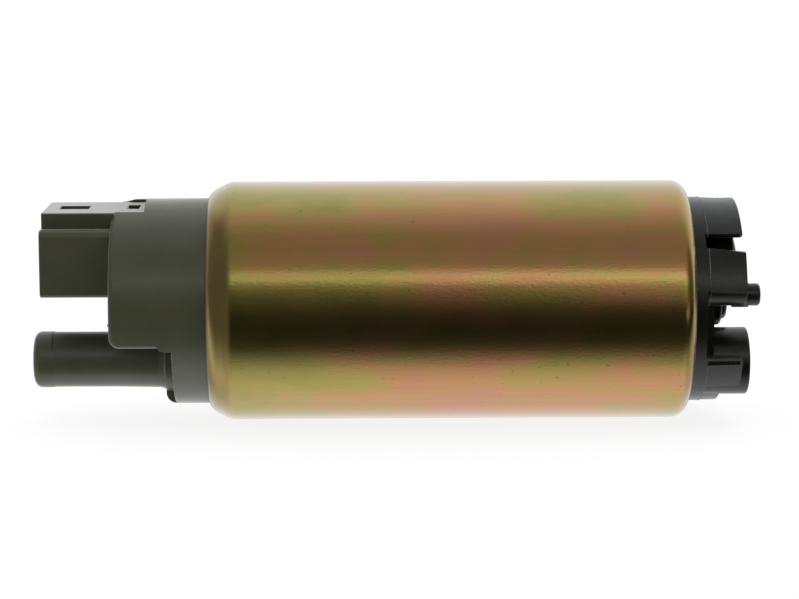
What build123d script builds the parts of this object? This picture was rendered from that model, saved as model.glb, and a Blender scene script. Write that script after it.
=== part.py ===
from build123d import *
import os
from math import sin, cos, radians, sqrt

# Electric in-tank turbine fuel pump, lying on its motor axis.
# Frame: X runs along the motor axis, outlet end at -X and inlet end at +X.
# +Z is the side that carries the electrical connector. The origin is on the
# axis, at the middle of the steel can. All lengths are millimetres.

# ---- driving dimensions -------------------------------------------------
CAN_R = 19.0            # outer radius of the can
CAN_HALF = 37.85        # half length of the can over its rolled ends
CAN_IN_X = 38.1         # the inlet end is rolled a little fuller
CAN_BORE = 17.4         # bore that the magnets sit on
CAN_SEAT = 18.1         # wider bore at each end, for the covers
SEAT_OUT_X = -28.5      # shoulder of the outlet end's seat
SEAT_IN_X = 24.5        # shoulder of the inlet end's seat
GAP = 0.05              # gap between a cover and the can

COVER_R = 16.4          # radius of both covers outside the can
LIP_R = 16.45           # radius of the mouth of each rolled end

DISC_X = -43.3          # outer face of the outlet cover's disc
COLLAR_X = -52.9        # outer face of the collar
COLLAR_Z = -5.20        # underside of the collar
FLAT_X = -47.8          # the collar's flat top ends here
FLAT_Z = 15.06          # height of the flat top
CONN_X = -64.0          # mouth of the connector
CONN_TOP_X = -63.75     # its raised top stands back a little
CONN_Z0, CONN_Z1 = 2.0, 12.6
CONN_HY = 10.24         # half width of the connector
CONN_TOP_HY = 7.93      # half width of the connector's raised top
CONN_TOP_END = -52.35   # where the raised top runs into the collar
SOCKET_X = -54.4        # floor of the connector's socket
SPIGOT_R = 4.43         # hose spigot
SPIGOT_Z = -9.43
SPIGOT_X = -66.05
BEAD_R, BEAD_X = 4.51, -62.8   # low bead at the spigot's tip
SPIGOT_BORE = 3.1
VALVE_SEAT_X = -46.5

BRUSH_Y = 8.3           # the brushes' distance from the axis
BRUSH_W, BRUSH_H, BRUSH_L = 5.0, 5.6, 9.0
GUIDE_CL = 0.12
CHOKE_Z = 8.9
COMM_X = -25.0          # face of the commutator that the brushes run on
RELIEF_Y, RELIEF_Z = 9.6, -8.0

CORE_R = 12.4           # armature core
CORE_HALF = 15.0
SLOTS = 8
MAGNET_RI = 12.95
MAGNET_HALF = 19.0
SHAFT_R = 1.98
SHAFT_CORE_R = 2.5
BUSH_R, BUSH_BORE = 3.5, 2.02

CASING_X = 29.4         # face of the pump casing towards the impeller
RING_X = 33.2           # face of the inlet cover towards the impeller
IMP_R, IMP_T = 15.1, 3.6
VANES = 37
CHANNEL_RI, CHANNEL_RO, CHANNEL_D = 12.6, 16.2, 1.6

FLANGE_X = 39.9         # outer face of the inlet cover's base flange
PART_X = 40.3           # mould parting line
PAD_X = 43.1            # pad below the inlet tube
BLOCK_X = 45.8          # end of the guard blocks
WEB_X = 45.5            # end of the web behind the groove
BOSS_X = 46.05          # end of the block that carries the locating pin
TUBE_R, TUBE_BORE = 5.31, 3.9
TUBE_X = 47.35
TUBE_Y, TUBE_Z = -6.35, -9.04
PIN_R = 1.75
PIN_X = 48.3
PIN_Y, PIN_Z = -12.8, 2.5

os.makedirs("parts", exist_ok=True)
NODES = {}


# ---- helpers ------------------------------------------------------------
def rev(pts):
    """A closed profile of (x, r) points turned round the motor axis."""
    face = Plane.XZ * make_face(Polyline(*pts, close=True))
    return revolve(face, Axis.X, 360)


def cyl(r, x0, x1, y=0.0, z=0.0):
    return extrude(Plane(origin=(x0, y, z), x_dir=(0, 1, 0), z_dir=(1, 0, 0)) * Circle(r), amount=x1 - x0)


def tube(ro, ri, x0, x1, y=0.0, z=0.0):
    return cyl(ro, x0, x1, y, z) - cyl(ri, x0 - 1, x1 + 1, y, z)


def box(x0, x1, y0, y1, z0, z1):
    return Pos((x0 + x1) / 2, (y0 + y1) / 2, (z0 + z1) / 2) * Box(abs(x1 - x0), abs(y1 - y0), abs(z1 - z0))


def prism(sketch, x0, x1):
    """A YZ sketch pushed along X from x0 to x1."""
    return extrude(Plane(origin=(x0, 0, 0), x_dir=(0, 1, 0), z_dir=(1, 0, 0)) * sketch, amount=x1 - x0)


def pol(r, a):
    """(y, z) at radius r, a degrees from the front (-Y) towards +Z."""
    return (-r * cos(radians(a)), r * sin(radians(a)))


def sector(ri, ro, a0, a1, n=12):
    """Ring sector as a YZ sketch, angles from the front towards +Z."""
    outer = [pol(ro, a0 + (a1 - a0) * i / 2) for i in range(3)]
    inner = [pol(ri, a1 - (a1 - a0) * i / 2) for i in range(3)]
    edges = [ThreePointArc(*outer), Line(outer[-1], inner[0]), ThreePointArc(*inner), Line(inner[-1], outer[0])]
    return make_face(edges)


def one(shape):
    """The single largest solid of a result."""
    sol = shape.solids()
    return max(sol, key=lambda s: s.volume)


def soften(shape, edges, r):
    """Fillet the edges one group at a time, and leave those that refuse."""
    edges = list(edges)
    if not edges:
        return shape
    try:
        return fillet(edges, r)
    except Exception:
        out = shape
        for e in edges:
            c = e.center()
            near = [x for x in out.edges() if (x.center() - c).length < 1e-4 and abs(x.length - e.length) < 1e-4]
            if not near:
                continue
            try:
                out = fillet(near, r)
            except Exception:
                pass
        return out


def helix_solid(radius, wire, x0, x1, turns, y, z, flip=False):
    """Round wire wound round an axis parallel to X; x0 and x1 are its outer ends."""
    h = (x1 - x0) - 2 * wire
    path = Helix(h / turns, h, radius, center=(x0 + wire, y, z), direction=(1, 0, 0))
    prof = Plane(origin=path @ 0, z_dir=path % 0) * Circle(wire)
    return sweep(prof, path=path, is_frenet=True)


def add(name, shape):
    NODES[name] = shape


# ---- motor can ----------------------------------------------------------
outer = [
    Line((-34.45, 19.0), (-36.3, 18.1)),
    Spline((-36.3, 18.1), (-37.15, 17.62), (-37.62, 17.15), (-CAN_HALF, 16.7),
           tangents=((-1, -0.486), (-0.12, -1))),
    Line((-CAN_HALF, 16.7), (-37.62, LIP_R)),
    Line((-37.62, LIP_R), (-37.1, LIP_R)),
    Line((-37.1, LIP_R), (-34.0, CAN_SEAT)),
    Line((-34.0, CAN_SEAT), (SEAT_OUT_X, CAN_SEAT)),
    Line((SEAT_OUT_X, CAN_SEAT), (SEAT_OUT_X, CAN_BORE)),
    Line((SEAT_OUT_X, CAN_BORE), (SEAT_IN_X, CAN_BORE)),
    Line((SEAT_IN_X, CAN_BORE), (SEAT_IN_X, CAN_SEAT)),
    Line((SEAT_IN_X, CAN_SEAT), (35.65, CAN_SEAT)),
    ThreePointArc((35.65, CAN_SEAT), (35.65 + 1.3 * sin(radians(45)), 16.8 + 1.3 * cos(radians(45))), (36.95, 16.8)),
    Line((36.95, 16.8), (36.95, LIP_R)),
    Line((36.95, LIP_R), (37.6, LIP_R)),
    Line((37.6, LIP_R), (CAN_IN_X, 16.7)),
    Line((CAN_IN_X, 16.7), (CAN_IN_X, 16.8)),
    Bezier((CAN_IN_X, 16.8), (CAN_IN_X, 18.015), (37.003, 19.0), (35.65, 19.0)),
    Line((35.65, 19.0), (-34.45, 19.0)),
]
can = revolve(Plane.XZ * make_face(outer), Axis.X, 360)
add("motor_can", can)

# ---- outlet cover -------------------------------------------------------
cs = CAN_SEAT - GAP
cover = rev([(SEAT_OUT_X, 0), (SEAT_OUT_X, cs), (-34.0, cs), (-37.1, COVER_R), (DISC_X + 0.3, COVER_R), (DISC_X + 0.13, COVER_R - 0.05),
             (DISC_X + 0.03, COVER_R - 0.16), (DISC_X, COVER_R - 0.32), (DISC_X, 0)])
# collar: the round body goes on, above a level underside
collar = cyl(COVER_R, COLLAR_X, DISC_X + 1) & box(COLLAR_X - 1, DISC_X + 2, -20, 20, COLLAR_Z, 20)
collar = collar - box(COLLAR_X - 1, FLAT_X, -20, 20, FLAT_Z, 25)
# its lower corners and its face edge are rounded
low = [e for e in collar.edges() if abs(e.center().X - COLLAR_X) < 1e-3 and abs(e.center().Z - COLLAR_Z) < 1e-3]
collar = soften(collar, low, 1.6)
face_edges = [e for e in collar.edges() if abs(e.center().X - COLLAR_X) < 1e-3 and e.center().Z > COLLAR_Z + 1.0
              and abs(e.center().Z - FLAT_Z) > 0.3]
collar = soften(collar, face_edges, 1.5)
side = [e for e in collar.edges() if abs(e.center().Z - COLLAR_Z) < 1e-3 and abs(abs(e.center().Y) - 15.55) < 0.3 and e.length > 5]
collar = soften(collar, side, 0.7)
# a shallow ledge under the collar next to the disc, with a sloping end
ledge = extrude(Plane.XZ.offset(-20) * make_face(Polyline((-45.5, COLLAR_Z), (-45.0, COLLAR_Z - 0.46),
                (-44.5, COLLAR_Z - 0.63), (DISC_X + 0.5, COLLAR_Z - 0.63), (DISC_X + 0.5, COLLAR_Z + 0.5), (-45.5, COLLAR_Z + 0.5), close=True)),
                amount=40) & cyl(COVER_R, -50, -40)
cover = cover + collar + ledge
# witness of the mould gate on the collar's edge
cover = cover + Pos(COLLAR_X + 0.4, -15.35, -1.5) * Sphere(0.55)
# low wall along the back of the flat top, with a ramped end
cover = cover + box(-52.35, FLAT_X + 0.3, 5.5, 8.8, 12.0, FLAT_Z)
wall = extrude(Plane.XZ.offset(-8.8) * make_face(Polyline((-51.8, FLAT_Z - 0.5), (-51.8, FLAT_Z), (-50.2, FLAT_Z + 0.4),
               (FLAT_X + 0.3, FLAT_Z + 0.4), (FLAT_X + 0.3, FLAT_Z - 0.5), close=True)), amount=0.8)
cover = cover + wall
# connector shroud
conn = box(CONN_X, COLLAR_X + 2, -CONN_HY, CONN_HY, CONN_Z0, CONN_Z1)
ce = [e for e in conn.edges() if abs(e.length - (COLLAR_X + 2 - CONN_X)) < 1e-3]
conn = fillet([e for e in ce if e.center().Z < 5], 0.7)
ce = [e for e in conn.edges() if abs(e.length - (COLLAR_X + 2 - CONN_X)) < 1e-3 and abs(e.center().Z - CONN_Z1) < 1e-3]
conn = fillet(ce, 1.15)
conn_top = box(CONN_TOP_X, CONN_TOP_END, -CONN_TOP_HY, CONN_TOP_HY, CONN_Z1 - 2, FLAT_Z)
te = [e for e in conn_top.edges() if abs(e.length - (CONN_TOP_END - CONN_TOP_X)) < 1e-3 and e.center().Z > FLAT_Z - 0.1]
conn_top = fillet(te, 0.3)
mouth = [e for e in conn.edges() if abs(e.center().X - CONN_X) < 1e-3]
conn = soften(conn, mouth, 0.3)
cover = cover + conn + conn_top
socket = box(CONN_X - 1, SOCKET_X, -9.0, 9.0, 3.2, 11.4)
socket = fillet([e for e in socket.edges() if abs(e.length - (SOCKET_X - CONN_X + 1)) < 1e-3], 0.8)
keyway = box(CONN_X - 1, SOCKET_X, -5.6, 5.6, 11.0, 13.75)
cover = cover - socket - keyway
cover = cover - box(-61.6, -56.9, -2.1, 2.2, 13, 16)                     # latch window
cover = cover - box(-50.9, -48.95, -2.07, 3.2, 12.0, 16)                 # square hole in the flat top
cover = cover - box(-51.2, FLAT_X - 0.4, 7.3, 8.0, 13.9, 16)             # narrow pocket along the back wall
# hose spigot with its flange and the gusset below it
tip = 1.25
spigot = revolve(Plane.XZ * make_face([
    Line((SPIGOT_X, 0), (SPIGOT_X, BEAD_R - tip)),
    ThreePointArc((SPIGOT_X, BEAD_R - tip), (SPIGOT_X + tip * (1 - cos(radians(45))), BEAD_R - tip * (1 - sin(radians(45)))),
                  (SPIGOT_X + tip, BEAD_R)),
    Line((SPIGOT_X + tip, BEAD_R), (BEAD_X - 0.3, BEAD_R)),
    Line((BEAD_X - 0.3, BEAD_R), (BEAD_X, SPIGOT_R)),
    Line((BEAD_X, SPIGOT_R), (-53.3, SPIGOT_R)),
    Line((-53.3, SPIGOT_R), (-46.05, SPIGOT_R + 0.13)),
    Spline((-46.05, SPIGOT_R + 0.13), (-45.5, SPIGOT_R + 0.24), (-45.05, 4.93), tangents=((1, 0.03), (0.35, 1))),
    ThreePointArc((-45.05, 4.93), (-44.96, 5.13), (-44.75, 5.2)),
    Line((-44.75, 5.2), (DISC_X + 1, 5.2)),
    Line((DISC_X + 1, 5.2), (DISC_X + 1, 0)),
    Line((DISC_X + 1, 0), (SPIGOT_X, 0))]), Axis.X, 360)
spigot = Pos(0, 0, SPIGOT_Z) * spigot
gusset = extrude(Plane.XZ.offset(-1.6) * make_face([
    Line((-45.0, -12.0), (-45.0, -14.7)),
    ThreePointArc((-45.0, -14.7), (-45.0 + 1.65 * (1 - cos(radians(45))), -14.7 - 1.65 * sin(radians(45))), (-43.35, -16.35)),
    Line((-43.35, -16.35), (-42.8, -16.35)),
    Line((-42.8, -16.35), (-42.8, -12.0)),
    Line((-42.8, -12.0), (-45.0, -12.0))]), amount=3.2)
cover = cover + spigot + gusset
# fuel passage and valve bore
cover = cover - cyl(2.4, SEAT_OUT_X - 16.0, SEAT_OUT_X + 1, 0, SPIGOT_Z)
cover = cover - cyl(2.0, VALVE_SEAT_X - 0.5, -43.0, 0, SPIGOT_Z)
cover = cover - cyl(SPIGOT_BORE, SPIGOT_X - 1, VALVE_SEAT_X, 0, SPIGOT_Z)
# bearing seat and room for the shaft end
cover = cover - cyl(BUSH_R, -35.2, SEAT_OUT_X + 1) - cyl(2.4, -37.2, -35.0)
# seal groove
cover = cover - (tube(20, 16.3, -32.1, -29.9))
# brush guides, choke pockets and the slots for the leads
for s in (-1, 1):
    y = s * BRUSH_Y
    cover = cover - box(-44.2, SEAT_OUT_X + 1, y - BRUSH_W / 2 - GUIDE_CL, y + BRUSH_W / 2 + GUIDE_CL,
                        -BRUSH_H / 2 - GUIDE_CL, BRUSH_H / 2 + GUIDE_CL)
    cover = cover - cyl(2.5, -42.0, SEAT_OUT_X + 1, y, CHOKE_Z)
    cover = cover - box(-38.5, SEAT_OUT_X + 1, y - 0.9, y + 0.9, 2.0, CHOKE_Z)
    # terminal slot from the socket floor to the choke pocket
    cover = cover - box(SOCKET_X - 1, -41.5, s * 5.0 - 1.4, s * 5.0 + 1.4, 6.6, 7.4)
    cover = cover - box(-44.2, -41.5, min(s * 5.0 - 1.4, s * 9.5), max(s * 5.0 + 1.4, s * 9.5), 6.6, 7.4)
# relief valve passage
cover = cover - cyl(1.0, -33.0, SEAT_OUT_X + 1, RELIEF_Y, RELIEF_Z)
cover = cover - cyl(2.0, DISC_X - 1, -31.5, RELIEF_Y, RELIEF_Z)
cover = one(cover)
add("outlet_cover", cover)

# ---- outlet cover: fitted pieces ---------------------------------------
seal = revolve(Plane.XZ * (Pos(-31.0, 17.2) * Circle(0.87)), Axis.X, 360)
add("outlet_cover_seal", seal)
add("outlet_bearing", tube(BUSH_R, BUSH_BORE, -35.2, -28.6))

for s, tag in ((-1, "positive"), (1, "negative")):
    y = s * BRUSH_Y
    ty = s * 5.0
    blade = box(-61.5, -41.5, ty - 1.4, ty + 1.4, 6.6, 7.4)
    tip = [e for e in blade.edges() if abs(e.center().X + 61.5) < 1e-3 and e.length > 2.5]
    blade = chamfer(tip, 0.3)
    foot = box(-44.2, -41.5, min(ty - 1.4, s * 9.5), max(ty + 1.4, s * 9.5), 6.6, 7.4)
    add("terminal_" + tag, blade + foot)
    add("choke_core_" + tag, fillet(cyl(1.15, -41.4, -30.4, y, CHOKE_Z).edges().filter_by(GeomType.CIRCLE), 0.2))
    add("choke_coil_" + tag, helix_solid(1.62, 0.38, -40.9, -31.2, 9, y, CHOKE_Z))
    # carbon brush with a bevel on its trailing edges
    br = box(COMM_X - 0.05 - BRUSH_L, COMM_X - 0.05, y - BRUSH_W / 2, y + BRUSH_W / 2, -BRUSH_H / 2, BRUSH_H / 2)
    br = chamfer([e for e in br.edges() if abs(e.center().X - (COMM_X - 0.05)) < 1e-3 and abs(e.center().Z) > 1], 0.35)
    add("brush_" + tag, br)
    add("brush_spring_" + tag, helix_solid(1.9, 0.22, -44.15, COMM_X - 0.1 - BRUSH_L, 8, y, 0))
    # braided lead from the brush's top up to the choke
    bx = COMM_X - 0.05 - BRUSH_L + 1.6
    lead_path = FilletPolyline((bx, y, BRUSH_H / 2 + 0.03), (bx, y, 5.0), (-30.3, y, 5.0), (-30.3, y, 6.85), radius=0.9)
    lead = sweep(Plane(origin=(bx, y, BRUSH_H / 2 + 0.03), z_dir=(0, 0, 1)) * Circle(0.45), path=lead_path)
    add("brush_lead_" + tag, lead)

# check valve
pop_x = VALVE_SEAT_X - 0.04
poppet = rev([(pop_x, 0), (pop_x, 2.3), (pop_x - 0.7, 2.62), (pop_x - 2.2, 2.62), (pop_x - 2.6, 1.3),
              (pop_x - 2.9, 0.8), (-59.9, 0.8), (-60.2, 0.5), (-60.2, 0)])
nose = Pos(pop_x, 0, 0) * (Sphere(1.7) & Pos(2, 0, 0) * Box(4, 6, 6))
poppet = Pos(0, 0, SPIGOT_Z) * (poppet + nose)
add("check_valve_poppet", poppet)
add("check_valve_spring", helix_solid(1.72, 0.2, -56.95, pop_x - 2.5, 7, 0, SPIGOT_Z))
guide = tube(SPIGOT_BORE - 0.01, 2.35, -59.3, -57.0)
guide = guide + tube(1.5, 0.9, -59.0, -57.0)
for a in (90, 210, 330):
    yy, zz = pol(1.9, a)
    spoke = Pos(-58.0, 0, 0) * (Rot(a, 0, 0) * (Pos(0, 0, 1.95) * Box(1.6, 0.8, 1.3)))
    guide = guide + spoke
guide = Pos(0, 0, SPIGOT_Z) * (guide - cyl(0.9, -62, -55))
add("check_valve_guide", one(guide))

# relief valve
ball_x = -31.5 - sqrt(1.5 ** 2 - 1.0 ** 2) - 0.04
add("relief_valve_ball", Pos(ball_x, RELIEF_Y, RELIEF_Z) * Sphere(1.5))
add("relief_valve_spring", helix_solid(1.35, 0.2, -40.55, ball_x - 0.88, 6, RELIEF_Y, RELIEF_Z))
plug = tube(1.99, 0.9, -43.0, -40.6, RELIEF_Y, RELIEF_Z)
add("relief_valve_plug", plug)

# ---- magnets and their clips -------------------------------------------
for a, tag in ((0, "front"), (180, "back")):
    m = prism(sector(MAGNET_RI, CAN_BORE - 0.02, a - 66, a + 66), -MAGNET_HALF, MAGNET_HALF)
    m = soften(m, [e for e in m.edges() if abs(e.length - 2 * MAGNET_HALF) < 1e-3 and
                   sqrt(e.center().Y ** 2 + e.center().Z ** 2) < 14], 0.8)
    add("magnet_" + tag, m)
for a, tag in ((90, "upper"), (270, "lower")):
    strip = prism(sector(16.7, CAN_BORE - 0.03, a - 22.6, a + 22.6), -17.5, 17.5)
    leg1 = prism(sector(13.6, CAN_BORE - 0.03, a - 22.6, a - 20.4), -17.5, 17.5)
    leg2 = prism(sector(13.6, CAN_BORE - 0.03, a + 20.4, a + 22.6), -17.5, 17.5)
    clip = strip + leg1 + leg2
    # window in the middle of the clip
    wy, wz = pol(17.0, a)
    clip = clip - box(-9, 9, wy - 2.2, wy + 2.2, wz - 3, wz + 3)
    add("magnet_clip_" + tag, one(clip))

# ---- armature -----------------------------------------------------------
shaft = cyl(SHAFT_R, -36.0, 36.4)
shaft = chamfer(shaft.edges().filter_by(GeomType.CIRCLE), 0.3)
shaft = shaft + cyl(SHAFT_CORE_R, -21.0, 17.0)
flat_z = 1.45
shaft = shaft - box(CASING_X - 0.2, 40, -5, 5, flat_z, 5)
add("shaft", one(shaft))


def slot_sketch(ri, ro, tooth, mouth):
    sk = Circle(ro) - Circle(ri)
    for i in range(SLOTS):
        a = i * 360 / SLOTS
        sk = sk - Rot(0, 0, a) * Pos(15, 0) * Rectangle(30, tooth)
    if mouth:
        for i in range(SLOTS):
            a = (i + 0.5) * 360 / SLOTS
            sk = sk + Rot(0, 0, a) * Pos(ro + 1.0, 0) * Rectangle(4.0, mouth)
    return sk


slots = slot_sketch(6.4, 10.9, 3.3, 2.0)
core_sk = Circle(CORE_R) - Circle(SHAFT_CORE_R) - slots
add("armature_core", prism(core_sk, -CORE_HALF, CORE_HALF))
ins_sk = (Circle(CORE_R - 0.3) - Circle(SHAFT_CORE_R)) - slots
add("core_insulator_outlet", prism(ins_sk, -CORE_HALF - 0.7, -CORE_HALF))
add("core_insulator_inlet", prism(ins_sk, CORE_HALF, CORE_HALF + 0.7))

fill = slot_sketch(6.65, 10.65, 3.8, 0)
bars = prism(fill, -CORE_HALF - 1.2, CORE_HALF + 1.2)
e0 = CORE_HALF + 0.7


def overhang(x0, x1):
    s = 1 if x1 > x0 else -1
    ring = rev([(x0, 4.2), (x0, 11.3), (x0 + s * 1.6, 11.5), (x0 + s * 3.0, 10.9), (x1 - s * 0.5, 9.4), (x1, 8.0),
                (x1, 5.6), (x1 - s * 0.6, 4.2)])
    for i in range(SLOTS):
        a = radians(i * 360 / SLOTS)
        ring = ring - Rot(i * 360 / SLOTS, 0, 0) * (Pos(x0 + s * 2.1, 0, 12.6) * Cylinder(1.7, 12, rotation=(0, 90, 0)))
    return ring


winding = bars + overhang(e0, e0 + 4.3) + overhang(-e0, -e0 - 4.0)
add("armature_windings", one(winding))

# commutator: moulded base, copper risers with hooks, carbon segments
base = rev([(-22.6, SHAFT_CORE_R), (-22.6, 11.2), (-20.2, 11.2), (-20.2, 7.0), (-19.9, 6.0), (-19.9, SHAFT_CORE_R)])
collar_c = rev([(-27.2, SHAFT_R), (-27.2, 4.5), (-22.6, 4.5), (-22.6, SHAFT_R)])
base = rev([(-27.2, SHAFT_R), (-27.2, 4.5), (-22.6, 4.5), (-22.6, 11.2), (-20.2, 11.2), (-20.2, 7.0), (-19.9, 6.0),
            (-19.9, SHAFT_CORE_R), (-21.0, SHAFT_CORE_R), (-21.0, SHAFT_R)])
add("commutator_base", base)
segs, risers = [], []
for i in range(SLOTS):
    a0, a1 = i * 45 + 1.6, (i + 1) * 45 - 1.6
    segs.append(prism(sector(4.6, 11.4, a0, a1), COMM_X, -23.2))
    r = prism(sector(4.6, 11.6, a0, a1), -23.2, -22.6)
    mid = (a0 + a1) / 2
    hook = Rot(-(mid) + 0, 0, 0) * box(-23.2, -22.6, -12.35, -11.0, -0.7, 0.7)
    lip = Rot(-(mid) + 0, 0, 0) * box(-23.2, -20.6, -12.35, -11.8, -0.7, 0.7)
    risers.append(r + hook + lip)
add("commutator_segments", Compound(children=[one(s) for s in segs]))
add("commutator_risers", Compound(children=[one(r) for r in risers]))
add("thrust_washer", tube(3.4, 2.05, -28.3, -27.25))

# ---- pump section -------------------------------------------------------
def channel(x, depth, a0, a1):
    """Side channel cut into a face at x, to a depth along X; angles from the front towards +Z."""
    s = 1 if depth > 0 else -1
    d = abs(depth)
    rm, hw = (CHANNEL_RI + CHANNEL_RO) / 2, (CHANNEL_RO - CHANNEL_RI) / 2
    prof = Plane.XZ * make_face(Polyline((x - s * 0.5, rm - hw), (x + s * d * 0.35, rm - hw), (x + s * d * 0.85, rm - hw * 0.55),
                                         (x + s * d, rm), (x + s * d * 0.85, rm + hw * 0.55), (x + s * d * 0.35, rm + hw),
                                         (x - s * 0.5, rm + hw), close=True))
    body = revolve(prof, Axis.X, 360)
    keep = prism(sector(5.0, 30.0, a1, a0 + 360), x - 4, x + 4)
    return body - keep


CH0, CH1 = -54.0, 262.0        # the channel runs from the inlet port round to the outlet port
casing = cyl(cs, SEAT_IN_X, CASING_X) + cyl(5.4, 21.6, SEAT_IN_X)
casing = casing - cyl(BUSH_R, 21.0, 28.6) - cyl(2.3, 28.0, 30.0)
casing = casing - channel(CASING_X, -CHANNEL_D, CH0, CH1)
py, pz = pol(14.3, CH1 - 8)
casing = casing - cyl(1.9, SEAT_IN_X - 1, CASING_X + 1, py, pz)
casing = soften(casing, [e for e in casing.edges() if abs(e.center().X - 21.6) < 1e-3 and e.length > 30], 0.6)
add("pump_casing", one(casing))
add("inlet_bearing", tube(BUSH_R, BUSH_BORE, 21.8, 28.6))

ring = tube(cs, 15.28, CASING_X, RING_X)
relief_ring = prism(sector(14.0, CHANNEL_RO, CH1, CH0 + 360), CASING_X - 1, RING_X + 1)
open_ring = tube(CHANNEL_RO, 10, CASING_X - 1, RING_X + 1) - prism(sector(8.0, 30.0, CH1, CH0 + 360), CASING_X - 2, RING_X + 2)
ring = ring - open_ring
add("impeller_spacer_ring", one(ring))

ix0 = (CASING_X + RING_X) / 2 - IMP_T / 2
ix1 = ix0 + IMP_T
imp_sk = Circle(IMP_R)
bore_sk = Circle(SHAFT_R + 0.02) - Pos(0, 5 + flat_z + 0.02) * Rectangle(10, 10)
imp = prism(imp_sk, ix0, ix1) - prism(bore_sk, ix0 - 1, ix1 + 1)
pocket_sk = Sketch() + [Rot(0, 0, i * 360 / VANES) * Pos(IMP_R - 1.0, 0) * Rectangle(4.2, 1.55) for i in range(VANES)]
imp = imp - prism(pocket_sk, ix0 - 1, ix0 + IMP_T / 2 - 0.3) - prism(pocket_sk, ix1 - IMP_T / 2 + 0.3, ix1 + 1)
holes = Sketch() + [Rot(0, 0, 60 * i + 30) * Pos(6.5, 0) * Circle(1.1) for i in range(6)]
imp = imp - prism(holes, ix0 - 1, ix1 + 1)
add("impeller", one(imp))

# ---- inlet cover --------------------------------------------------------
prof = [
    Line((RING_X, 0), (RING_X, cs)),
    Line((RING_X, cs), (35.65, cs)),
    ThreePointArc((35.65, cs), (35.65 + 1.25 * sin(radians(45)), 16.8 + 1.25 * cos(radians(45))), (36.9, 16.8)),
    Line((36.9, 16.8), (36.9, COVER_R)),
    Line((36.9, COVER_R), (FLANGE_X, COVER_R)),
    Line((FLANGE_X, COVER_R), (FLANGE_X, 0)),
    Line((FLANGE_X, 0), (RING_X, 0)),
]
inl = revolve(Plane.XZ * make_face(prof), Axis.X, 360)


def block(ri, ro, a0, a1, x1, r=0.45):
    b = prism(sector(ri, ro, a0, a1), FLANGE_X - 1, x1)
    es = [e for e in b.edges() if abs(e.center().X - x1) < 1e-3 or
          (abs(e.length - (x1 - FLANGE_X + 1)) < 1e-3 and sqrt(e.center().Y ** 2 + e.center().Z ** 2) > ro - 0.2)]
    return soften(b, es, r)


UP_Z = 11.15                    # level underside of the upper guard block
BO0, BO1 = 3.7, 37.2            # block that carries the locating pin
LO0 = -58.4                     # lower guard block, in front of the tube
LO_Z = -7.37                    # its level top
upper = prism(sector(8.6, COVER_R, 40.0, 140.0), FLANGE_X - 1, BLOCK_X) - box(30, 60, -20, 20, -20, UP_Z)
upper = soften(upper, [e for e in upper.edges() if abs(e.center().Z - UP_Z) < 1e-3 and abs(e.center().Y) > 11.5 and e.length > 4], 0.6)
upper = soften(upper, [e for e in upper.edges() if abs(e.center().X - BLOCK_X) < 1e-3], 0.4)
inl = inl + upper
boss = prism(sector(9.2, COVER_R, BO0, BO1), FLANGE_X - 1, BOSS_X)
boss = boss - extrude(Plane.XZ.offset(5.0) * make_face(Polyline((38.0, 10.12), (46.5, 9.12), (46.5, 14.0), (38.0, 14.0), close=True)), amount=14)
# its underside curves in, and its end is rounded
boss = soften(boss, [e for e in boss.edges() if abs(e.center().Z - 1.06) < 0.3 and e.center().Y < -16 and e.length > 5], 2.6)
boss = soften(boss, [e for e in boss.edges() if abs(e.center().X - BOSS_X) < 1e-3 and e.center().Z > 9.0 and e.length > 3], 0.9)
boss = soften(boss, [e for e in boss.edges() if abs(e.center().X - BOSS_X) < 1e-3 and e.center().Z < 9.0 and e.center().Y < -10], 0.3)
inl = inl + boss
# web behind the groove, stepped
inl = inl + block(8.0, 13.4, BO1 - 12, 58.0, 44.9, 0.5) + block(8.0, 10.85, BO1 - 12, 70.0, WEB_X, 0.3)
inl = inl + block(8.0, 11.4, 58.0, 88.0, 45.3, 0.3)
inl = inl + block(8.6, COVER_R, 180 - BO1, 180 - BO0, BLOCK_X)       # matching block on the far side
inl = inl + block(8.0, 10.85, 110.0, 180 - BO1 + 12, WEB_X, 0.3)
inl = inl + block(11.0, COVER_R, 228.0, 258.0, BLOCK_X)              # lower guard block on the far side
lower = prism(sector(9.0, COVER_R, LO0, -20.0), FLANGE_X - 1, BLOCK_X) - box(30, 60, -20, 20, LO_Z, 20)
lower = soften(lower, [e for e in lower.edges() if abs(e.center().X - BLOCK_X) < 1e-3], 0.35)
lower = lower - box(40.15, BLOCK_X - 0.45, -16.0, -13.85, -8.62, -7.80)  # shallow slot under the block's top edge
inl = inl + lower
# pad under the tube, round the bottom
pad = prism(sector(1.0, COVER_R, -122.0, -50.0), FLANGE_X - 1, PAD_X)
pad = pad - box(FLANGE_X, PAD_X + 1, -20, 20, -5.0, 20)
pad = soften(pad, [e for e in pad.edges() if abs(e.center().X - PAD_X) < 1e-3 and
                   sqrt(e.center().Y ** 2 + e.center().Z ** 2) > 14], 0.6)
inl = inl + pad
# thin pad between the boss and the tube
inl = inl + box(FLANGE_X - 0.5, 41.45, -12.1, 1.0, -7.6, 2.5)
# the outside has a little draft either side of the parting line, which stands a hair proud
skin = rev([(30, 0), (30, 25), (36.9, 25), (36.9, COVER_R - 0.02), (PART_X - 0.07, COVER_R - 0.06), (PART_X - 0.04, COVER_R),
            (PART_X + 0.04, COVER_R), (PART_X + 0.07, COVER_R - 0.12), (50, COVER_R - 0.25), (50, 0)])
inl = inl & skin
# hub in the middle
hub = cyl(4.25, FLANGE_X - 1, 43.9)
hub = fillet([e for e in hub.edges() if abs(e.center().X - 43.9) < 1e-3], 0.5)
hub2 = cyl(3.3, 43.0, 44.78)
hub2 = fillet([e for e in hub2.edges() if abs(e.center().X - 44.78) < 1e-3], 0.6)
inl = inl + hub + hub2
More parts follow.
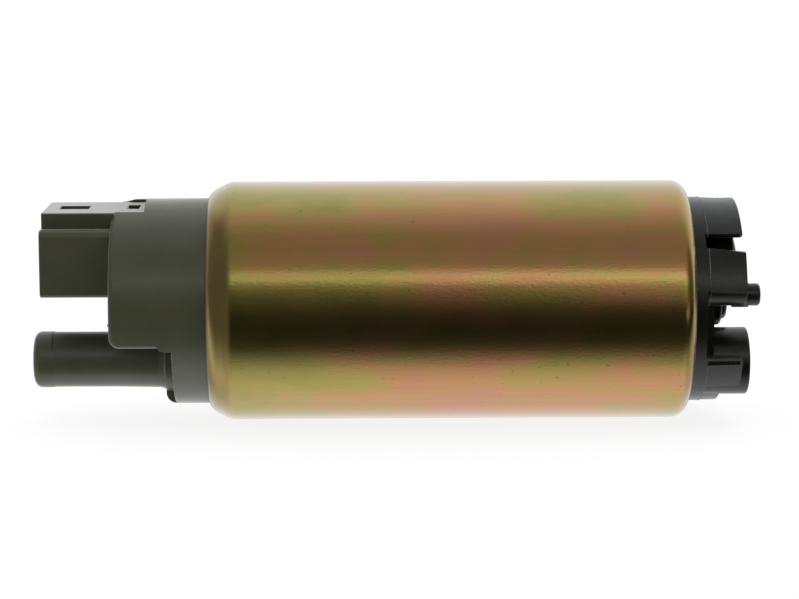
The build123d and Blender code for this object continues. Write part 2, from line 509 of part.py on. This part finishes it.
# inlet tube
tb = cyl(TUBE_R, 38.0, TUBE_X, TUBE_Y, TUBE_Z)
tb = fillet([e for e in tb.edges() if abs(e.center().X - TUBE_X) < 1e-3], 0.35)
inl = inl + tb
# locating pin on its root collar
pin = cyl(PIN_R, 44.0, PIN_X, PIN_Y, PIN_Z)
pin = fillet([e for e in pin.edges() if abs(e.center().X - PIN_X) < 1e-3], 0.5)
pin_root = cyl(PIN_R + 0.22, 44.0, BOSS_X + 0.4, PIN_Y, PIN_Z)
inl = inl + pin + pin_root
# the round inlet bore, the port into the side channel and the pocket for the thrust pad
inl = inl - cyl(TUBE_BORE, 36.4, TUBE_X + 1, TUBE_Y, TUBE_Z)
ty, tz = pol(14.2, -54.0)
inl = inl - cyl(1.9, RING_X - 1, 37.0, ty, tz)
inl = inl - channel(RING_X, CHANNEL_D, CH0, CH1)
inl = inl - cyl(2.6, RING_X - 1, 38.5)
# recess at the root of the groove
inl = inl - prism(sector(9.6, 14.0, 43.0, 56.0), FLANGE_X + 0.1, 42.0)
add("inlet_cover", one(inl))
add("thrust_pad", cyl(2.6, 36.5, 38.5) - cyl(0.4, 38.0, 39))

# ---- write --------------------------------------------------------------
for name, shape in NODES.items():
    export_step(shape, os.path.join("parts", name + ".step"))
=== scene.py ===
import math

import bmesh
import bpy
from mathutils import Matrix, Vector


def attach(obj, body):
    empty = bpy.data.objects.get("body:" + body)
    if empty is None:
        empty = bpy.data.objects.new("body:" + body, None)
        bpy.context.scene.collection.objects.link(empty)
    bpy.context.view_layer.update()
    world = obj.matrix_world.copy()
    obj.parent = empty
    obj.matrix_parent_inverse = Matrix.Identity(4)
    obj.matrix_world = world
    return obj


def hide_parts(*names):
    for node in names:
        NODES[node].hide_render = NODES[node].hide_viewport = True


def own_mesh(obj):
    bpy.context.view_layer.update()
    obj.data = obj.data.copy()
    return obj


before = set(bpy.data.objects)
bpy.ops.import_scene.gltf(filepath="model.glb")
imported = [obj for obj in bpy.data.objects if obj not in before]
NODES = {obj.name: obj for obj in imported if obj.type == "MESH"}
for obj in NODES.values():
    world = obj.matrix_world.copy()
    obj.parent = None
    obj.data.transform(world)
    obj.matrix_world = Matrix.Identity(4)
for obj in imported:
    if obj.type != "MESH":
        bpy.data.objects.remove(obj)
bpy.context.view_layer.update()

scene = bpy.context.scene

# ---------------------------------------------------------------- camera
# The camera stands 415 mm from the motor axis, 8.6 degrees above the level
# of the connector's flat top, opposite the outlet third of the can.
ELEV = math.radians(8.6)
DIST = 0.415
CAM = Vector((-0.016, -DIST * math.cos(ELEV), DIST * math.sin(ELEV)))
AIM = Vector((-0.00757, 0.0, 0.00002))
ROLL = math.radians(0.084)
FOCAL_PX = 2585.0

cam_data = bpy.data.cameras.new("camera")
cam_data.sensor_width = 36.0
cam_data.lens = FOCAL_PX / 799.0 * 36.0
cam_data.clip_start = 0.01
cam_data.clip_end = 20.0
camera = bpy.data.objects.new("camera", cam_data)
scene.collection.objects.link(camera)
zc = (CAM - AIM).normalized()
xr = Vector((0, 0, 1)).cross(zc).normalized()
yr = zc.cross(xr)
xc = xr * math.cos(ROLL) - yr * math.sin(ROLL)
yc = xr * math.sin(ROLL) + yr * math.cos(ROLL)
camera.matrix_world = Matrix((
    (xc.x, yc.x, zc.x, CAM.x),
    (xc.y, yc.y, zc.y, CAM.y),
    (xc.z, yc.z, zc.z, CAM.z),
    (0, 0, 0, 1)))
scene.camera = camera
bpy.context.scene.camera = camera
scene.view_settings.view_transform = "Standard"
scene.view_settings.look = "None"
scene.view_settings.exposure = 0.0
scene.view_settings.gamma = 1.0


# ---------------------------------------------------------------- nodes
class Tree:
    """Short words for building a node tree."""

    def __init__(self, tree):
        self.t = tree
        self.t.nodes.clear()

    def add(self, kind, **props):
        n = self.t.nodes.new(kind)
        for k, v in props.items():
            setattr(n, k, v)
        return n

    def link(self, a, b):
        self.t.links.new(a, b)

    def put(self, socket, value):
        if isinstance(value, bpy.types.NodeSocket):
            self.t.links.new(value, socket)
        else:
            socket.default_value = value

    def math(self, op, a, b=0.0, c=0.0, clamp=False):
        n = self.add("ShaderNodeMath", operation=op, use_clamp=clamp)
        self.put(n.inputs[0], a)
        self.put(n.inputs[1], b)
        if len(n.inputs) > 2:
            self.put(n.inputs[2], c)
        return n.outputs[0]

    def coords(self, scale=(1, 1, 1), loc=(0, 0, 0), rot=(0, 0, 0)):
        if not hasattr(self, "_tc"):
            self._tc = self.add("ShaderNodeTexCoord")
        m = self.add("ShaderNodeMapping")
        m.inputs["Location"].default_value = loc
        m.inputs["Rotation"].default_value = rot
        m.inputs["Scale"].default_value = scale
        self.link(self._tc.outputs["Object"], m.inputs["Vector"])
        return m.outputs[0]

    def noise(self, vec, scale, detail=3.0, rough=0.5, distort=0.0):
        n = self.add("ShaderNodeTexNoise")
        n.inputs["Scale"].default_value = scale
        n.inputs["Detail"].default_value = detail
        n.inputs["Roughness"].default_value = rough
        n.inputs["Distortion"].default_value = distort
        self.link(vec, n.inputs["Vector"])
        return n.outputs["Fac"]

    def ramp(self, fac, stops, mode="LINEAR"):
        n = self.add("ShaderNodeValToRGB")
        n.color_ramp.interpolation = mode
        els = n.color_ramp.elements
        while len(els) < len(stops):
            els.new(0.5)
        for e, (p, c) in zip(els, stops):
            e.position = p
            e.color = (*c, 1) if len(c) == 3 else c
        self.link(fac, n.inputs["Fac"])
        return n.outputs["Color"]

    def level(self, fac, lo, hi, out_lo=0.0, out_hi=1.0):
        n = self.add("ShaderNodeMapRange")
        n.clamp = True
        self.put(n.inputs["Value"], fac)
        n.inputs["From Min"].default_value = lo
        n.inputs["From Max"].default_value = hi
        n.inputs["To Min"].default_value = out_lo
        n.inputs["To Max"].default_value = out_hi
        return n.outputs["Result"]

    def mix(self, fac, a, b, blend="MIX"):
        n = self.add("ShaderNodeMix", data_type="RGBA", blend_type=blend)
        self.put(n.inputs[0], fac)
        for sock, v in ((n.inputs[6], a), (n.inputs[7], b)):
            self.put(sock, (*v, 1) if isinstance(v, tuple) and len(v) == 3 else v)
        return n.outputs[2]

    def bump(self, height, strength, distance, normal=None):
        n = self.add("ShaderNodeBump")
        n.inputs["Strength"].default_value = strength
        n.inputs["Distance"].default_value = distance
        self.link(height, n.inputs["Height"])
        if normal is not None:
            self.link(normal, n.inputs["Normal"])
        return n.outputs[0]


def material(name):
    m = bpy.data.materials.new(name)
    m.use_nodes = True
    t = Tree(m.node_tree)
    out = t.add("ShaderNodeOutputMaterial")
    b = t.add("ShaderNodeBsdfPrincipled")
    t.link(b.outputs[0], out.inputs[0])
    return m, t, b


def assign(names, mat):
    for n in names:
        o = NODES[n]
        o.data.materials.clear()
        o.data.materials.append(mat)


# ---------------------------------------------------------------- materials
def chromate():
    m, t, b = material("chromate_steel")
    b.inputs["Metallic"].default_value = 1.0
    # drifting patches: olive at the outlet end, copper and pink in the middle, gold at the inlet end
    big = t.noise(t.coords((55, 90, 90)), 1.0, 2.0, 0.5, 0.4)
    mid = t.noise(t.coords((120, 210, 210), loc=(3, 1, 7)), 1.0, 2.0, 0.45, 0.3)
    fine = t.noise(t.coords((420, 1100, 1100), loc=(1, 4, 2)), 1.0, 3.0, 0.6, 0.2)
    where = t.add("ShaderNodeSeparateXYZ")
    t.link(t._tc.outputs["Object"], where.inputs[0])
    along = t.ramp(t.level(where.outputs["X"], -0.038, 0.038),
                   [(0.0, (0.22, 0.22, 0.22)), (0.20, (0.34, 0.34, 0.34)), (0.44, (0.60, 0.60, 0.60)),
                    (0.66, (0.55, 0.55, 0.55)), (1.0, (0.42, 0.42, 0.42))])
    # painted reflection tint round the can: pinker on its shoulders, greener along the top and bottom, standing in for
    # the film's colour shift with viewing angle
    height = t.math("DIVIDE", t.math("ABSOLUTE", where.outputs["Z"]), 0.019)
    painted_reflection_tint = t.ramp(height, [(0.0, (0.30, 0.30, 0.30)), (0.18, (0.24, 0.24, 0.24)), (0.40, (0.32, 0.32, 0.32)), (0.55, (0.40, 0.40, 0.40)),
                             (0.76, (0.38, 0.38, 0.38)), (0.90, (0.26, 0.26, 0.26)), (1.0, (0.20, 0.20, 0.20))])
    s = t.math("ADD", t.math("MULTIPLY", t.math("SUBTRACT", big, 0.5), 0.9), along)
    s = t.math("ADD", s, t.math("MULTIPLY", t.math("SUBTRACT", mid, 0.5), 0.85))
    s = t.math("ADD", s, t.math("SUBTRACT", painted_reflection_tint, 0.30))
    s = t.math("ADD", s, t.math("MULTIPLY", t.math("SUBTRACT", fine, 0.5), 0.34))
    col = t.ramp(s, [(0.16, (0.350, 0.295, 0.060)), (0.34, (0.405, 0.315, 0.066)), (0.48, (0.468, 0.292, 0.080)),
                     (0.62, (0.530, 0.268, 0.094)), (0.80, (0.540, 0.250, 0.118))])
    # faint short streaks along the can, from drawing the tube
    streak = t.noise(t.coords((45, 2300, 2300)), 1.0, 3.0, 0.65)
    col = t.mix(t.level(streak, 0.50, 0.80, 0.0, 0.22), col, (0.26, 0.18, 0.06))
    # sparse dark specks
    speck = t.noise(t.coords((1300, 1700, 1700), loc=(9, 2, 4)), 1.0, 1.0, 0.5)
    col = t.mix(t.level(speck, 0.75, 0.80, 0.0, 0.6), col, (0.07, 0.055, 0.03))
    # rings round the outlet end's slope, which the rolling left browner
    slope = t.level(where.outputs["X"], -0.0340, -0.0352)
    rings = t.noise(t.coords((2600, 40, 40), loc=(1, 2, 2)), 1.0, 2.0, 0.6)
    col = t.mix(t.math("MULTIPLY", slope, t.level(rings, 0.35, 0.65, 0.45, 0.85)), col, (0.400, 0.272, 0.088))
    # painted highlight: the rolled lips are painted pale, and their gloss is also made rougher
    lip_highlight = t.math("MAXIMUM", t.level(where.outputs["X"], 0.03745, 0.03795), t.level(where.outputs["X"], -0.03745, -0.03778))
    col = t.mix(t.math("MULTIPLY", lip_highlight, 0.85), col, (0.52, 0.52, 0.38))
    t.link(col, b.inputs["Base Color"])
    rough = t.math("ADD", t.math("ADD", 0.15, t.math("MULTIPLY", lip_highlight, 0.22)), t.math("MULTIPLY", mid, 0.09))
    t.link(t.math("ADD", rough, t.math("MULTIPLY", streak, 0.04)), b.inputs["Roughness"])
    b.inputs["IOR"].default_value = 1.5
    b.inputs["Coat Weight"].default_value = 0.8
    b.inputs["Coat Roughness"].default_value = 0.16
    b.inputs["Coat IOR"].default_value = 1.5
    spangle = t.noise(t.coords((1900, 2600, 2600), loc=(2, 7, 3)), 1.0, 2.0, 0.5)
    h = t.math("ADD", t.math("MULTIPLY", streak, 0.22), t.math("MULTIPLY", t.noise(t.coords((60, 140, 140), loc=(5, 5, 1)), 1.0, 2.0, 0.5), 0.9))
    h = t.math("ADD", h, t.math("MULTIPLY", spangle, 0.75))
    h = t.math("ADD", h, t.math("MULTIPLY", t.math("MULTIPLY", rings, slope), 0.30))
    t.link(t.bump(h, 0.10, 0.0002), b.inputs["Normal"])
    return m


def moulded(name, colour, light, rough, spec=0.5, grain=0.12, line=None, sheen=0.0):
    m, t, b = material(name)
    n1 = t.noise(t.coords((240, 240, 240)), 1.0, 3.0, 0.55)
    n2 = t.noise(t.coords((900, 2200, 2200)), 1.0, 3.0, 0.6)
    col = t.mix(t.level(n1, 0.35, 0.7, 0.0, 1.0), colour, light)
    if line is not None:
        # painted highlight: a thin paler line along the mould's parting line
        where = t.add("ShaderNodeSeparateXYZ")
        t.link(t._tc.outputs["Object"], where.inputs[0])
        off = t.math("ABSOLUTE", t.math("SUBTRACT", where.outputs["X"], line))
        parting_highlight = t.math("MULTIPLY", t.level(off, 0.00004, 0.00009, 1.0, 0.0), t.level(n1, 0.40, 0.60, 0.25, 0.9))
        col = t.mix(parting_highlight, col, (0.16, 0.16, 0.15))
    t.link(col, b.inputs["Base Color"])
    t.link(t.math("ADD", rough, t.math("MULTIPLY", n2, 0.14)), b.inputs["Roughness"])
    b.inputs["Specular IOR Level"].default_value = spec
    b.inputs["Sheen Weight"].default_value = sheen
    b.inputs["Sheen Roughness"].default_value = 0.25
    t.link(t.bump(t.noise(t.coords((5200, 5200, 5200)), 1.0, 2.0, 0.6), grain, 0.00006), b.inputs["Normal"])
    return m


def metal(name, colour, rough, streaks=(300, 3000, 3000)):
    m, t, b = material(name)
    b.inputs["Metallic"].default_value = 1.0
    n = t.noise(t.coords(streaks), 1.0, 3.0, 0.6)
    dark = tuple(c * 0.72 for c in colour)
    t.link(t.mix(t.level(n, 0.3, 0.75, 0.0, 1.0), colour, dark), b.inputs["Base Color"])
    t.link(t.math("ADD", rough, t.math("MULTIPLY", n, 0.12)), b.inputs["Roughness"])
    t.link(t.bump(n, 0.08, 0.00004), b.inputs["Normal"])
    return m


CHROMATE = chromate()
assign(["motor_can"], CHROMATE)
assign(["outlet_cover"], moulded("olive_plastic", (0.052, 0.056, 0.027), (0.060, 0.064, 0.034), 0.27, spec=0.70, grain=0.08, sheen=0.85))
assign(["inlet_cover"], moulded("black_plastic", (0.0046, 0.0052, 0.0026), (0.0064, 0.0070, 0.0042), 0.21, spec=0.52, grain=0.06, line=0.0403, sheen=0.12))
assign(["pump_casing", "impeller_spacer_ring"], moulded("casing_plastic", (0.045, 0.045, 0.045), (0.06, 0.06, 0.06), 0.45))
assign(["impeller"], moulded("impeller_resin", (0.10, 0.055, 0.03), (0.13, 0.07, 0.04), 0.4))
assign(["outlet_cover_seal"], moulded("seal_rubber", (0.012, 0.012, 0.012), (0.018, 0.018, 0.018), 0.6))
assign(["magnet_front", "magnet_back", "choke_core_positive", "choke_core_negative"],
       moulded("ferrite", (0.05, 0.05, 0.055), (0.07, 0.07, 0.075), 0.5))
assign(["magnet_clip_upper", "magnet_clip_lower", "brush_spring_positive", "brush_spring_negative", "check_valve_spring", "relief_valve_spring"],
       metal("spring_steel", (0.55, 0.55, 0.56), 0.28))
assign(["shaft", "relief_valve_ball", "thrust_pad"], metal("bearing_steel", (0.66, 0.66, 0.67), 0.14))
assign(["outlet_bearing", "inlet_bearing"], metal("sintered_bronze", (0.48, 0.31, 0.15), 0.38, (2500, 2500, 2500)))
assign(["terminal_positive", "terminal_negative"], metal("tinned_brass", (0.74, 0.73, 0.68), 0.25))
assign(["choke_coil_positive", "choke_coil_negative", "armature_windings"], metal("enamelled_copper", (0.50, 0.15, 0.05), 0.25, (900, 900, 900)))
assign(["brush_lead_positive", "brush_lead_negative", "commutator_risers"], metal("bare_copper", (0.72, 0.33, 0.19), 0.35, (4000, 4000, 4000)))
assign(["brush_positive", "brush_negative", "commutator_segments"], moulded("carbon", (0.022, 0.022, 0.023), (0.035, 0.035, 0.037), 0.5))
assign(["armature_core"], metal("lamination_steel", (0.34, 0.34, 0.35), 0.4, (4000, 60, 60)))
assign(["core_insulator_outlet", "core_insulator_inlet", "thrust_washer", "check_valve_guide", "relief_valve_plug"],
       moulded("white_nylon", (0.68, 0.66, 0.58), (0.74, 0.72, 0.64), 0.4))
assign(["commutator_base"], moulded("phenolic", (0.07, 0.045, 0.03), (0.09, 0.055, 0.035), 0.45))
assign(["check_valve_poppet"], metal("valve_brass", (0.66, 0.50, 0.24), 0.2))

# ---------------------------------------------------------------- motor can
# The can again, turned from the same profile as the CAD solid but in finer
# steps, so that the reflections run smoothly round its rolled ends.
def arc(cx, cr, rad, a0, a1, n):
    """Points (x, r) on an arc; angles in degrees from +r towards +X."""
    return [(cx + rad * math.sin(math.radians(a0 + (a1 - a0) * i / n)),
             cr + rad * math.cos(math.radians(a0 + (a1 - a0) * i / n))) for i in range(n + 1)]


def bezier(p, n):
    out = []
    for i in range(n + 1):
        u = i / n
        k = ((1 - u) ** 3, 3 * u * (1 - u) ** 2, 3 * u * u * (1 - u), u ** 3)
        out.append(tuple(sum(w_ * q[j] for w_, q in zip(k, p)) for j in (0, 1)))
    return out


def lathe(name, runs, segs):
    """Turn the runs of (x, r) millimetre points round X; runs meet in sharp edges."""
    me = bpy.data.meshes.new(name)
    bm = bmesh.new()
    pts, corner = [], set()
    for run in runs:
        corner.add(len(pts))
        pts += run[:-1]
    n = len(pts)
    rings = []
    for x, r in pts:
        rings.append([bm.verts.new((x / 1000, -r / 1000 * math.cos(2 * math.pi * k / segs), r / 1000 * math.sin(2 * math.pi * k / segs)))
                      for k in range(segs)])
    for i in range(n):
        a, c = rings[i], rings[(i + 1) % n]
        for k in range(segs):
            f = bm.faces.new((a[k], a[(k + 1) % segs], c[(k + 1) % segs], c[k]))
            f.smooth = True
    bmesh.ops.recalc_face_normals(bm, faces=bm.faces)
    bm.edges.ensure_lookup_table()
    for i in corner:
        ring = rings[i]
        for k in range(segs):
            e = bm.edges.get((ring[k], ring[(k + 1) % segs]))
            e.smooth = False
    bm.to_mesh(me)
    bm.free()
    o = bpy.data.objects.new(name, me)
    scene.collection.objects.link(o)
    return o


cone = math.degrees(math.atan2(0.9, 1.85))
bend = 3.6
outside = arc(-34.45 + bend * math.tan(math.radians(cone / 2)), 19.0 - bend, bend, 0, -cone, 14)
roll = bezier([(-36.3, 18.1), (-36.95, 17.784), (-37.74, 17.1), (-37.85, 16.7)], 20)
runs = [
    [(-28.5 + 63.9 * i / 60, 19.0) for i in range(61)][::-1] + outside + roll,
    [(-37.85, 16.7), (-37.62, 16.45)],
    [(-37.62, 16.45), (-37.1, 16.45)],
    [(-37.1, 16.45), (-34.0, 18.1)],
    [(-34.0, 18.1), (-28.5, 18.1)],
    [(-28.5, 18.1), (-28.5, 17.4)],
    [(-28.5, 17.4), (24.5, 17.4)],
    [(24.5, 17.4), (24.5, 18.1)],
    [(24.5, 18.1), (35.65, 18.1)] + arc(35.65, 16.8, 1.3, 0, 90, 12)[1:],
    [(36.95, 16.8), (36.95, 16.45)],
    [(36.95, 16.45), (37.6, 16.45)],
    [(37.6, 16.45), (38.1, 16.7)],
    [(38.1, 16.7)] + bezier([(38.1, 16.8), (38.1, 18.015), (37.003, 19.0), (35.65, 19.0)], 32) + [(35.4, 19.0)],
]
can = lathe("can_shell", runs, 384)
can.data.materials.append(CHROMATE)
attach(can, "housing")
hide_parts("motor_can")

# ---------------------------------------------------------------- springs
# Each spring is replaced by its own copy, fastened to the housing.
def yielding(node):
    """A copy of the node with its own mesh, fastened to the housing; the original is hidden."""
    src = NODES[node]
    bpy.context.view_layer.update()
    o = bpy.data.objects.new(node + "_live", src.data.copy())
    scene.collection.objects.link(o)
    o.matrix_world = src.matrix_world.copy()
    bpy.context.view_layer.update()
    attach(o, "housing")
    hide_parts(node)
    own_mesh(o)


yielding("brush_spring_positive")
yielding("brush_spring_negative")
yielding("check_valve_spring")
yielding("relief_valve_spring")

# ---------------------------------------------------------------- stage
def grid(name, size, z):
    me = bpy.data.meshes.new(name)
    bm = bmesh.new()
    bmesh.ops.create_grid(bm, x_segments=1, y_segments=1, size=size)
    bm.to_mesh(me)
    bm.free()
    o = bpy.data.objects.new(name, me)
    o.location = (0, 0, z)
    scene.collection.objects.link(o)
    return o


floor = grid("floor", 6.0, -0.0190)
fm, ft, fb = material("floor_white")
fn = ft.noise(ft.coords((6, 6, 6)), 1.0, 2.0, 0.5)
ft.link(ft.mix(fn, (0.13, 0.13, 0.13), (0.145, 0.145, 0.145)), fb.inputs["Base Color"])
fb.inputs["Roughness"].default_value = 0.9
fb.inputs["Specular IOR Level"].default_value = 0.0
fb.inputs["Emission Color"].default_value = (1.0, 1.0, 1.0, 1.0)
fb.inputs["Emission Strength"].default_value = 0.87
floor.data.materials.append(fm)
floor.visible_glossy = False
floor.visible_diffuse = False

# ---------------------------------------------------------------- light
# A soft white surround. What shines in the can is a studio sky that is a
# function of direction: a pale ceiling and back wall, a narrow strip light
# over the camera, a dark room in front, and a pale table below.
world = bpy.data.worlds.new("studio")
scene.world = world
world.use_nodes = True
w = Tree(world.node_tree)
wo = w.add("ShaderNodeOutputWorld")
tc = w.add("ShaderNodeTexCoord")
sep = w.add("ShaderNodeSeparateXYZ")
w.link(tc.outputs["Generated"], sep.inputs[0])
ang = w.math("ARCTAN2", sep.outputs["Z"], w.math("MULTIPLY", sep.outputs["Y"], -1.0))
# 0 looks towards the camera, a quarter is straight up, and -a quarter is straight down
turn = w.math("SUBTRACT", w.math("DIVIDE", ang, 2 * math.pi), 8.6 / 360.0)
turn = w.math("FRACT", w.math("ADD", turn, 1.5))


def at(deg):
    return (deg / 360.0 + 0.5) % 1.0


def round_axis(stops):
    """A ramp over the angle round the pump's axis."""
    n = w.add("ShaderNodeValToRGB")
    n.color_ramp.interpolation = "LINEAR"
    els = n.color_ramp.elements
    while len(els) < len(stops):
        els.new(0.5)
    for e, (d, v) in zip(els, stops):
        e.position = at(d)
        e.color = (*v, 1) if isinstance(v, tuple) else (v, v, v, 1)
    w.link(turn, n.inputs["Fac"])
    return n.outputs["Color"]


def ease(lo, hi, a=0.0, b=1.0):
    """Smooth step over the direction's X."""
    n = w.add("ShaderNodeMapRange")
    n.interpolation_type = "SMOOTHSTEP"
    w.link(sep.outputs["X"], n.inputs["Value"])
    n.inputs["From Min"].default_value = lo
    n.inputs["From Max"].default_value = hi
    n.inputs["To Min"].default_value = a
    n.inputs["To Max"].default_value = b
    return n.outputs["Result"]


front = round_axis([
    (-179.9, (0.20, 0.20, 0.21)), (-175, (0.25, 0.25, 0.26)), (-167, (0.94, 0.94, 0.97)), (-143, (0.97, 0.96, 0.99)), (-128, (0.96, 0.95, 0.97)), (-106, (1.02, 1.02, 1.06)),
    (-88, (0.97, 0.97, 1.02)), (-73, (0.77, 0.76, 0.77)), (-60, (0.36, 0.355, 0.35)), (-53, (0.145, 0.145, 0.145)),
    (-47, (0.048, 0.048, 0.052)), (-36, (0.020, 0.022, 0.026)), (-22, (0.022, 0.024, 0.027)), (-10, (0.048, 0.044, 0.043)),
    (2, (0.112, 0.104, 0.096)), (12, (0.225, 0.212, 0.20)), (20, (0.33, 0.31, 0.29)), (36, (0.33, 0.32, 0.31)),
    (49, (0.305, 0.295, 0.275)), (62, (0.325, 0.30, 0.29)), (76, (0.42, 0.41, 0.41)), (91, (0.62, 0.62, 0.64)),
    (109, (0.84, 0.88, 0.91)), (133, (0.95, 0.98, 1.02)), (150, (0.96, 0.98, 1.01)), (167, (0.94, 0.96, 0.99)), (175, (0.25, 0.25, 0.26)), (179.9, (0.20, 0.20, 0.21))])
left = round_axis([
    (-179.9, 0.80), (-127, 0.70), (-104, 0.74), (-84, 0.70), (-75, 0.62), (-65, 0.50), (-56, 0.36), (-46, 0.22), (-36, 0.175),
    (43, 0.175), (53, 0.195), (63, 0.22), (72, 0.26), (82, 0.32), (92, 0.40), (102, 0.48), (112, 0.62), (124, 0.78), (179.9, 0.85)])
far_left = round_axis([
    (-179.9, 0.45), (-136, 0.45), (-121, 0.50), (-110, 0.75), (-99, 0.86), (-88, 0.72), (-78, 0.52), (-68, 0.37), (-59, 0.24),
    (-47, 0.16), (-36, 0.135), (-20, 0.150), (50, 0.155), (66, 0.185), (80, 0.17), (92, 0.16), (108, 0.26),
    (120, 0.36), (132, 0.46), (179.9, 0.48)])
strip = round_axis([
    (-179.9, 0.0), (15.0, 0.0), (18.0, (1.0, 1.06, 1.04)), (24.5, (1.0, 1.06, 1.04)), (27.5, 0.0), (179.9, 0.0)])
glow = round_axis([
    (-179.9, 0.0), (-8, 0.0), (6, 1.0), (16, 1.0), (18, 0.0), (179.9, 0.0)])
dim = round_axis([
    (-179.9, 0.0), (0, 0.0), (12, 1.0), (58, 1.0), (75, 0.0), (179.9, 0.0)])
lamp = round_axis([
    (-179.9, 0.0), (-24, 0.0), (-19, 1.0), (-13, 1.0), (-9, 0.0), (179.9, 0.0)])

# how strong the strip is along its length
power = w.math("MULTIPLY", ease(-0.45, -0.12), ease(-0.06, 0.13, 0.62, 1.00))
power = w.math("MULTIPLY", power, ease(0.35, 0.85, 1.0, 0.0))
sky = w.mix(1.0, front, w.mix(power, (0.0, 0.0, 0.0), strip), "ADD")
sky = w.mix(1.0, sky, w.mix(w.math("MULTIPLY", ease(0.04, 0.14), ease(0.5, 0.8, 0.25, 0.0)), (0.0, 0.0, 0.0), glow), "ADD")
sky = w.mix(1.0, sky, w.mix(w.math("MULTIPLY", ease(0.45, 0.58), ease(0.72, 0.85, 0.55, 0.0)), (0.0, 0.0, 0.0), lamp), "ADD")
shade = w.math("SUBTRACT", 1.0, w.math("MULTIPLY", dim, ease(0.55, 0.80, 0.0, 0.60)))
below = round_axis([
    (-179.9, 0.25), (-110, 0.35), (-75, 0.55), (-50, 0.65), (-38, 0.45), (-25, 0.0), (179.9, 0.0)])
shade = w.math("MULTIPLY", shade, w.math("SUBTRACT", 1.0, w.math("MULTIPLY", below, ease(0.40, 0.75))))
shade_rgb = w.add("ShaderNodeCombineColor")
for i in range(3):
    w.link(shade, shade_rgb.inputs[i])
sky = w.mix(1.0, sky, shade_rgb.outputs[0], "MULTIPLY")
sky = w.mix(ease(-0.52, -0.12, 1.0, 0.0), sky, left)
sky = w.mix(ease(-0.68, -0.48, 1.0, 0.0), sky, far_left)
# soft light on the plastics: a wide tent that is open towards the camera
tent = round_axis([
    (-179.9, 1.9), (-130, 1.8), (-80, 1.65), (-58, 1.35), (-44, 0.50), (-30, 0.15), (20, 0.15), (38, 0.38), (52, 1.05),
    (75, 1.50), (130, 1.65), (179.9, 1.9)])
tent = w.mix(w.math("MAXIMUM", ease(-0.75, -0.45, 1.0, 0.0), ease(0.45, 0.75)), tent, (1.1, 1.1, 1.1))

lp = w.add("ShaderNodeLightPath")
final = w.mix(lp.outputs["Is Diffuse Ray"], sky, tent)
final = w.mix(lp.outputs["Is Camera Ray"], final, (1.0, 1.0, 1.0))
bg = w.add("ShaderNodeBackground")
w.link(final, bg.inputs["Color"])
w.link(bg.outputs[0], wo.inputs[0])
world.cycles.sampling_method = "NONE"
